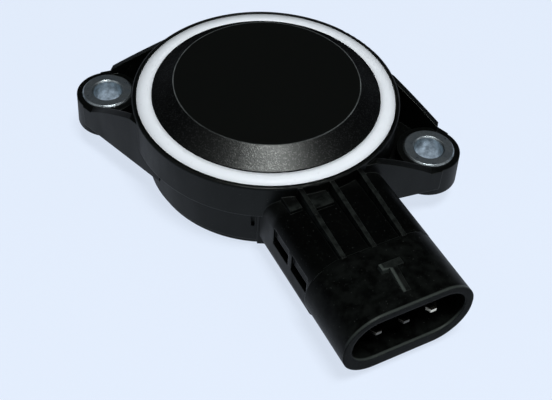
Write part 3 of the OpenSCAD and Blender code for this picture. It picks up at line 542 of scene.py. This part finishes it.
class NodeGraph:
    """A Geometry Nodes tree with named inputs, built step by step."""

    def __init__(self, name, inputs, takes_geometry=False):
        self.tree = bpy.data.node_groups.new(name, "GeometryNodeTree")
        self.tree.is_modifier = True
        face = self.tree.interface
        if takes_geometry:
            face.new_socket("Geometry", in_out="INPUT", socket_type="NodeSocketGeometry")
        for label, (kind, default) in inputs.items():
            made = face.new_socket(label, in_out="INPUT", socket_type="NodeSocket" + kind)
            if default is not None:
                made.default_value = default
        face.new_socket("Geometry", in_out="OUTPUT", socket_type="NodeSocketGeometry")
        self.given = self.tree.nodes.new("NodeGroupInput").outputs
        self.out = self.tree.nodes.new("NodeGroupOutput").inputs

    def node(self, kind, values=(), **attributes):
        """Adds a node; values fill its inputs in order, None leaves one alone."""
        made = self.tree.nodes.new(kind)
        for name, value in attributes.items():
            setattr(made, name, value)
        for socket, value in zip(made.inputs, values):
            self.feed(socket, value)
        return made

    def feed(self, socket, value):
        """Links a socket to another, or sets its value."""
        if isinstance(value, bpy.types.NodeSocket):
            self.tree.links.new(value, socket)
        elif value is not None:
            socket.default_value = value

    def math(self, operation, *numbers):
        """One sum on numbers."""
        return self.node("ShaderNodeMath", numbers, operation=operation).outputs[0]

    def finish(self, geometry, material):
        """Ends the tree with real geometry and its material."""
        real = self.node("GeometryNodeRealizeInstances", (geometry,)).outputs[0]
        painted = self.node("GeometryNodeSetMaterial", (real, None, material)).outputs[0]
        self.tree.links.new(painted, self.out["Geometry"])


def grown(name, graph, values, base=None):
    """The mesh that a graph makes from those inputs, as a new object without a modifier."""
    holder = base or bpy.data.objects.new(name + "_seed", bpy.data.meshes.new(name + "_seed"))
    bpy.context.scene.collection.objects.link(holder)
    modifier = holder.modifiers.new("Grow", "NODES")
    modifier.node_group = graph.tree
    for item in graph.tree.interface.items_tree:
        if item.item_type == "SOCKET" and item.in_out == "INPUT" and item.name in values:
            modifier[item.identifier] = values[item.name]
    evaluated = holder.evaluated_get(bpy.context.evaluated_depsgraph_get())
    mesh = bpy.data.meshes.new_from_object(evaluated)
    holder.modifiers.remove(modifier)
    bpy.data.objects.remove(holder)
    piece = bpy.data.objects.new(name, mesh)
    bpy.context.scene.collection.objects.link(piece)
    return piece


def bead_graph(material):
    """A ring turned from a rounded section whose upper face slopes, is domed and ripples a little."""
    g = NodeGraph("Sealing bead", {
        "Inner Radius": ("Float", None), "Outer Radius": ("Float", None), "Foot": ("Float", None),
        "Inner Top": ("Float", None), "Outer Top": ("Float", None), "Crown": ("Float", None),
        "Ripple": ("Float", None), "Segments": ("Int", 90), "Sides": ("Int", 24),
    })
    steps = [g.math("ADD", g.given[name], 1) for name in ("Segments", "Sides")]
    grid = g.node("GeometryNodeMeshGrid", (1, 1, *steps))
    u, v, _ = g.node("ShaderNodeSeparateXYZ", (grid.outputs["UV Map"],)).outputs
    turn, round_section = (g.math("MULTIPLY", t, math.tau) for t in (u, v))

    def squared(wave):
        """A cosine or sine pushed outwards, so that the circle becomes a rounded square."""
        size = g.math("POWER", g.math("ABSOLUTE", wave), 0.12)
        return g.math("MULTIPLY", g.math("SIGN", wave), size)

    across, upwards = (squared(g.math(wave, round_section)) for wave in ("COSINE", "SINE"))
    share = g.math("MULTIPLY_ADD", across, 0.5, 0.5)

    def blend(a, b, factor):
        """A number between a and b."""
        made = g.node("ShaderNodeMix", data_type="FLOAT")
        for socket, value in zip(made.inputs[:1] + made.inputs[2:4], (factor, a, b)):
            g.feed(socket, value)
        return made.outputs[0]

    radius = blend(g.given["Inner Radius"], g.given["Outer Radius"], share)
    dome = g.math("MULTIPLY", g.math("SUBTRACT", 1, g.math("MULTIPLY", across, across)), g.given["Crown"])
    top = g.math("ADD", blend(g.given["Inner Top"], g.given["Outer Top"], share), dome)
    height = g.math("MULTIPLY_ADD", upwards, 0.5, 0.5)
    z = blend(g.given["Foot"], top, height)
    x, y = (g.math("MULTIPLY", radius, g.math(wave, turn)) for wave in ("COSINE", "SINE"))
    place = g.node("ShaderNodeCombineXYZ", (x, y, z)).outputs[0]
    shaped = g.node("GeometryNodeSetPosition", (grid.outputs["Mesh"], None, place)).outputs[0]
    closed = g.node("GeometryNodeMergeByDistance", (shaped, None, None, 0.001 * MM)).outputs[0]
    where = g.node("GeometryNodeInputPosition").outputs[0]
    ripple = g.node("ShaderNodeTexNoise")
    for name, value in (("Vector", where), ("Scale", 1 / (2.5 * MM)), ("Detail", 2.0)):
        g.feed(ripple.inputs[name], value)
    lift = g.math("MULTIPLY", g.math("SUBTRACT", ripple.outputs["Fac"], 0.5), g.given["Ripple"])
    on_top = g.node("ShaderNodeSeparateXYZ", (g.node("GeometryNodeInputNormal").outputs[0],)).outputs[2]
    lift = g.math("MULTIPLY", lift, g.math("MAXIMUM", on_top, 0))
    offset = g.node("ShaderNodeCombineXYZ", (0, 0, g.math("MULTIPLY", lift, 2))).outputs[0]
    moved = g.node("GeometryNodeSetPosition", (closed, None, None, offset)).outputs[0]
    g.finish(g.node("GeometryNodeSetShadeSmooth", (moved,)).outputs[0], material)
    return g


def spring_path(spring):
    """Points along the wire: fixed leg, coil, and the moving leg that the rotor's arm holds."""
    # The coil starts a few steps on, which leaves room for the fixed leg's bend.
    bend_room = 0.6 * MM
    steps_a_turn, bent_steps = 72, 4

    def point(radius, turn, z):
        return (radius * math.cos(turn), radius * math.sin(turn), z)

    start, coil, low = spring.start, spring.coil_radius, spring.first_turn
    high = low + spring.pitch * spring.turns
    points = [point(coil + out, start, low) for out in (spring.leg, bend_room)]
    steps = steps_a_turn * spring.turns
    for step in range(bent_steps, steps + 1):
        share = step / steps
        points.append(point(coil, start + math.tau * spring.turns * share, low + (high - low) * share))
    points.append(point(coil, start + spring.catch / 2, high + spring.pitch / 4))
    points += [point(coil, start + spring.catch, z) for z in (high + spring.wire, spring.catch_top)]
    return points


def spring_graph(material):
    """Round wire along the line that the tree is given, with its corners bent and its ends closed."""
    sizes = {"Wire": ("Float", None), "Bend": ("Float", None), "Sides": ("Int", 16)}
    g = NodeGraph("Spring wire", sizes, takes_geometry=True)
    line = g.node("GeometryNodeMeshToCurve", (g.given["Geometry"],)).outputs[0]
    bent = g.node("GeometryNodeFilletCurve", (line,))
    g.feed(bent.inputs["Radius"], g.given["Bend"])
    bent.inputs["Limit Radius"].default_value = True
    section = g.node("GeometryNodeCurvePrimitiveCircle")
    g.feed(section.inputs["Resolution"], g.given["Sides"])
    g.feed(section.inputs["Radius"], g.math("MULTIPLY", g.given["Wire"], 0.5))
    wire = g.node("GeometryNodeCurveToMesh")
    g.feed(wire.inputs["Curve"], bent.outputs[0])
    g.feed(wire.inputs["Profile Curve"], section.outputs["Curve"])
    wire.inputs["Fill Caps"].default_value = True
    g.finish(g.node("GeometryNodeSetShadeSmooth", (wire.outputs[0],)).outputs[0], material)
    return g


class POTENTIOMETER_OT_housing(bpy.types.Operator):
    """Finish the moulded housing"""

    bl_idname = "potentiometer.housing"
    bl_label = "Housing"

    def execute(self, context):
        split_z = (HOUSING_LOW.z + HOUSING_HIGH.z) / 2
        dress("housing", housing_plastic(settings("finish"), split_z))
        return {"FINISHED"}


class POTENTIOMETER_OT_cover(bpy.types.Operator):
    """Finish the bevelled cover"""

    bl_idname = "potentiometer.cover"
    bl_label = "Cover"

    def execute(self, context):
        dress("cover", cover_plastic(settings("finish")))
        return {"FINISHED"}


class POTENTIOMETER_OT_bead(bpy.types.Operator):
    """Grow the white sealing bead between cover and rim"""

    bl_idname = "potentiometer.bead"
    bl_label = "Sealing bead"

    def execute(self, context):
        bead = settings("bead")
        material = silicone(settings("finish"))
        gap, below_rim, below_face = 0.03 * MM, 0.1 * MM, 0.02 * MM
        piece = grown("sealing_bead", bead_graph(material), {
            "Inner Radius": COVER_HIGH.x + gap, "Outer Radius": BEAD_HIGH.x, "Foot": BEAD_LOW.z,
            "Inner Top": BEAD_HIGH.z - below_face, "Outer Top": HOUSING_HIGH.z - below_rim,
            "Crown": bead.crown, "Ripple": bead.ripple, "Segments": bead.segments, "Sides": bead.sides,
        })
        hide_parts("cover_seal")
        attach(piece, "body")
        return {"FINISHED"}


class POTENTIOMETER_OT_bushings(bpy.types.Operator):
    """Finish the metal bushings in the ears"""

    bl_idname = "potentiometer.bushings"
    bl_label = "Bushings"

    def execute(self, context):
        finish = settings("finish")
        zinc = metal("bushing_metal", finish.zinc_colour, finish, roughness=(0.26, 0.5), stain=0.45)
        for side in ("left", "right"):
            dress("bushing_" + side, zinc)
        return {"FINISHED"}


class POTENTIOMETER_OT_pins(bpy.types.Operator):
    """Finish the connector's pins"""

    bl_idname = "potentiometer.pins"
    bl_label = "Pins"

    def execute(self, context):
        finish = settings("finish")
        # The pins share one tinned metal: the left and middle ones are darkened as painted shade, the right
        # one lightened as a painted glint.
        for place, brightness in (("left", 0.45), ("middle", 0.3), ("right", 3.5)):
            name = "pin_" + place
            tinned = tinted(finish.brass_colour, brightness)
            dress(name, metal(name, tinned, finish, roughness=(0.2, 0.35), stain=0.85))
        return {"FINISHED"}


class POTENTIOMETER_OT_seals(bpy.types.Operator):
    """Finish the rubber ring and the shaft seal"""

    bl_idname = "potentiometer.seals"
    bl_label = "Seals"

    def execute(self, context):
        black = rubber("seal_rubber", RUBBER_BLACK)
        for node in ("foot_o_ring", "shaft_seal"):
            dress(node, black)
        return {"FINISHED"}


class POTENTIOMETER_OT_bearing(bpy.types.Operator):
    """Finish the bearing bush and the thrust washer"""

    bl_idname = "potentiometer.bearing"
    bl_label = "Bearing"

    def execute(self, context):
        finish = settings("finish")
        dress("rotor_bush", metal("bush_bronze", SINTERED_BRONZE, finish, roughness=(0.4, 0.6)))
        dress("thrust_washer", moulded_plastic(
            "washer_plastic", NATURAL_PLASTIC, finish, roughness=(0.35, 0.45), specular=0.5, edge_wear_and_highlight=1.1
        ))
        return {"FINISHED"}


class POTENTIOMETER_OT_springs(bpy.types.Operator):
    """Finish the springs, and grow the return spring's round wire"""

    bl_idname = "potentiometer.springs"
    bl_label = "Springs"

    def execute(self, context):
        finish = settings("finish")
        steel = metal("spring_steel", BRIGHT_STEEL, finish, roughness=(0.2, 0.35), stain=0.8)
        dress("spring_washer", steel)
        spring = settings("spring")
        points = spring_path(spring)
        line = bpy.data.meshes.new("spring_line")
        line.from_pydata(points, [(i, i + 1) for i in range(len(points) - 1)], [])
        piece = grown("spring_wire", spring_graph(steel), {
            "Wire": spring.wire, "Bend": spring.bend, "Sides": spring.sides,
        }, bpy.data.objects.new("spring_line", line))
        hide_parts("return_spring")
        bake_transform(piece)
        return {"FINISHED"}


class POTENTIOMETER_OT_track_board(bpy.types.Operator):
    """Finish the board and what is printed on it"""

    bl_idname = "potentiometer.track_board"
    bl_label = "Track board"

    def execute(self, context):
        dress("track_board", ceramic("board_ceramic", FIRED_CERAMIC))
        dress("resistive_track", printed_film("resistive_ink", CARBON_INK, 0.0, (0.35, 0.55)))
        dress("conductor_track", printed_film("conductor_ink", SILVER_INK, 1.0, (0.4, 0.6)))
        return {"FINISHED"}


class POTENTIOMETER_OT_contacts(bpy.types.Operator):
    """Finish the contacts and the wiper's sheet"""

    bl_idname = "potentiometer.contacts"
    bl_label = "Contacts"

    def execute(self, context):
        finish = settings("finish")
        bronze = metal("contact_metal", SPRING_BRONZE, finish, roughness=(0.2, 0.35), stain=0.8)
        for node in ("contact_left", "contact_middle", "contact_right", "wiper"):
            dress(node, bronze)
        return {"FINISHED"}


class POTENTIOMETER_OT_rotor(bpy.types.Operator):
    """Finish the rotor and the wiper's carrier"""

    bl_idname = "potentiometer.rotor"
    bl_label = "Rotor"

    def execute(self, context):
        grey = moulded_plastic("rotor_plastic", ACETAL_GREY, settings("finish"), edge_wear_and_highlight=1.5)
        for node in ("rotor", "wiper_carrier"):
            dress(node, grey)
        return {"FINISHED"}


def towards(turn, tilt):
    """The direction from the part towards a lamp or camera at that azimuth and elevation."""
    return Vector((math.sin(turn) * math.cos(tilt), -math.cos(turn) * math.cos(tilt), math.sin(tilt)))


def soft_lamp(name, azimuth, elevation, distance, size, strength, target):
    """A square lamp that faces the target; its brightness doesn't change with its size."""
    lamp = bpy.data.lights.new(name, "AREA")
    lamp.shape = "SQUARE"
    lamp.size = size
    lamp.energy = strength * math.pi * size * size
    holder = bpy.data.objects.new(name, lamp)
    bpy.context.scene.collection.objects.link(holder)
    back = towards(math.radians(azimuth), math.radians(elevation))
    holder.location = target + back * distance
    holder.rotation_euler = back.to_track_quat("Z", "Y").to_euler()


def seen_by_eye(tree):
    """1 for rays that show the floor to the camera, straight on, in a mirror or through glass."""
    path = tree.nodes.new("ShaderNodeLightPath")
    total = path.outputs["Is Camera Ray"]
    for name in ("Is Glossy Ray", "Is Transmission Ray"):
        both = tree.nodes.new("ShaderNodeMath")
        both.operation = "MAXIMUM"
        tree.links.new(total, both.inputs[0])
        tree.links.new(path.outputs[name], both.inputs[1])
        total = both.outputs[0]
    return total


def floor_material(colour, paint_share, glow):
    """Pale floor: most of its tone is its own glow, so that the part's shadow on it stays soft."""
    material = bpy.data.materials.new("stage_floor")
    material.use_nodes = True
    tree = material.node_tree
    tree.nodes.clear()
    paint = tree.nodes.new("ShaderNodeBsdfDiffuse")
    paint.inputs["Color"].default_value = (*tinted(colour, paint_share), 1)
    own = tree.nodes.new("ShaderNodeEmission")
    own.inputs["Color"].default_value = (*colour, 1)
    strength = tree.nodes.new("ShaderNodeMath")
    strength.operation = "MULTIPLY"
    tree.links.new(seen_by_eye(tree), strength.inputs[0])
    strength.inputs[1].default_value = glow
    tree.links.new(strength.outputs[0], own.inputs["Strength"])
    both = tree.nodes.new("ShaderNodeAddShader")
    output = tree.nodes.new("ShaderNodeOutputMaterial")
    tree.links.new(paint.outputs[0], both.inputs[0])
    tree.links.new(own.outputs[0], both.inputs[1])
    tree.links.new(both.outputs[0], output.inputs["Surface"])
    return material


def pale_horizon(colour, overhead):
    """A sky that is pale at the horizon and dim above it."""
    pale_until, dim_from = 0.02, 0.16
    world = bpy.data.worlds.new("stage_sky")
    bpy.context.scene.world = world
    world.use_nodes = True
    tree = world.node_tree
    sky = tree.nodes["Background"]
    direction = tree.nodes.new("ShaderNodeTexCoord").outputs["Generated"]
    split = tree.nodes.new("ShaderNodeSeparateXYZ")
    tree.links.new(direction, split.inputs[0])
    ramp = tree.nodes.new("ShaderNodeValToRGB")
    stops = (pale_until, colour), (dim_from, tinted(colour, overhead))
    for element, (position, tone) in zip(ramp.color_ramp.elements, stops):
        element.position = position
        element.color = (*tone, 1)
    tree.links.new(split.outputs["Z"], ramp.inputs[0])
    tree.links.new(ramp.outputs["Color"], sky.inputs["Color"])


class POTENTIOMETER_OT_stage(bpy.types.Operator):
    """Set the floor, the sky, the lamps and the camera"""

    bl_idname = "potentiometer.stage"
    bl_label = "Stage"

    def execute(self, context):
        scene = context.scene
        stage = settings("stage")
        scene.view_settings.view_transform = "Standard"
        colour = tuple(stage.floor_colour)
        self.lay_floor(colour)
        pale_horizon(tinted(colour, 0.6), overhead=0.08)
        centre = Vector((0, 0, BEAD_LOW.z + BEAD_MIDDLE))
        soft_lamp("key", azimuth=30, elevation=72, distance=0.6, size=0.18,
                  strength=stage.key_strength, target=centre)
        soft_lamp("fill_left", azimuth=-50, elevation=30, distance=0.8, size=0.5,
                  strength=stage.left_strength, target=centre)
        soft_lamp("fill_right", azimuth=75, elevation=12, distance=0.8, size=0.5,
                  strength=stage.right_strength, target=centre)
        self.set_camera(scene, stage, centre)
        return {"FINISHED"}

    def lay_floor(self, colour):
        """A wide floor under the part's lowest point."""
        reach = 6
        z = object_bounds()[0].z
        mesh = bpy.data.meshes.new("floor")
        corners = [(-reach, -reach, z), (reach, -reach, z), (reach, reach, z), (-reach, reach, z)]
        mesh.from_pydata(corners, [], [(0, 1, 2, 3)])
        mesh.materials.append(floor_material(colour, paint_share=0.2, glow=0.83))
        floor = bpy.data.objects.new("floor", mesh)
        bpy.context.scene.collection.objects.link(floor)
        floor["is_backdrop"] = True

    def set_camera(self, scene, stage, centre):
        """Places the camera so that the centre falls on the aim pixel."""
        camera = bpy.data.cameras.new("camera")
        camera.lens = stage.lens
        camera.sensor_width = SENSOR_W
        camera.clip_start = 0.01
        back = towards(stage.azimuth, stage.elevation)
        right = Vector((math.cos(stage.azimuth), math.sin(stage.azimuth), 0))
        focal = stage.lens / SENSOR_W * IMAGE_W
        sight = Vector(((stage.aim_x - IMAGE_W / 2) / focal, (IMAGE_H / 2 - stage.aim_y) / focal, -1))
        swing = Vector((0, 0, -1)).rotation_difference(sight.normalized()).to_matrix()
        view = swing @ Matrix.Rotation(stage.roll, 3, "Z") @ Matrix((right, back.cross(right), back))
        holder = bpy.data.objects.new("camera", camera)
        scene.collection.objects.link(holder)
        place = Matrix.Translation(centre + back * stage.distance)
        holder.matrix_world = place @ view.transposed().to_4x4()
        scene.camera = holder


class POTENTIOMETER_PT_panel(bpy.types.Panel):
    """Lists the part's pieces in the sidebar"""

    bl_idname = "POTENTIOMETER_PT_panel"
    bl_label = "Potentiometer"
    bl_space_type = "VIEW_3D"
    bl_region_type = "UI"
    bl_category = "Potentiometer"

    def draw(self, context):
        for name, group in GROUPS.items():
            box = self.layout.box()
            box.label(text=name.capitalize())
            for prop in group.__annotations__:
                box.prop(settings(name), prop)
        for operator in OPERATORS:
            self.layout.operator(operator.bl_idname)


GROUPS = {"finish": FinishSettings, "bead": BeadSettings, "spring": SpringSettings, "stage": StageSettings}
OPERATORS = (
    POTENTIOMETER_OT_housing, POTENTIOMETER_OT_cover, POTENTIOMETER_OT_bead, POTENTIOMETER_OT_bushings,
    POTENTIOMETER_OT_pins, POTENTIOMETER_OT_seals, POTENTIOMETER_OT_bearing, POTENTIOMETER_OT_springs,
    POTENTIOMETER_OT_track_board, POTENTIOMETER_OT_contacts, POTENTIOMETER_OT_rotor, POTENTIOMETER_OT_stage,
)


def register():
    """Adds the settings, the operators and the panel."""
    for name, group in GROUPS.items():
        bpy.utils.register_class(group)
        setattr(bpy.types.Scene, "potentiometer_" + name, PointerProperty(type=group))
    for operator in OPERATORS:
        bpy.utils.register_class(operator)
    bpy.utils.register_class(POTENTIOMETER_PT_panel)


def unregister():
    """Takes them away again."""
    bpy.utils.unregister_class(POTENTIOMETER_PT_panel)
    for operator in reversed(OPERATORS):
        bpy.utils.unregister_class(operator)
    for name, group in GROUPS.items():
        delattr(bpy.types.Scene, "potentiometer_" + name)
        bpy.utils.unregister_class(group)


def main():
    """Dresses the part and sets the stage."""
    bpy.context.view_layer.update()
    register()
    for operator in OPERATORS:
        group, name = operator.bl_idname.split(".")
        getattr(getattr(bpy.ops, group), name)()


if __name__ == "__main__":
    main()
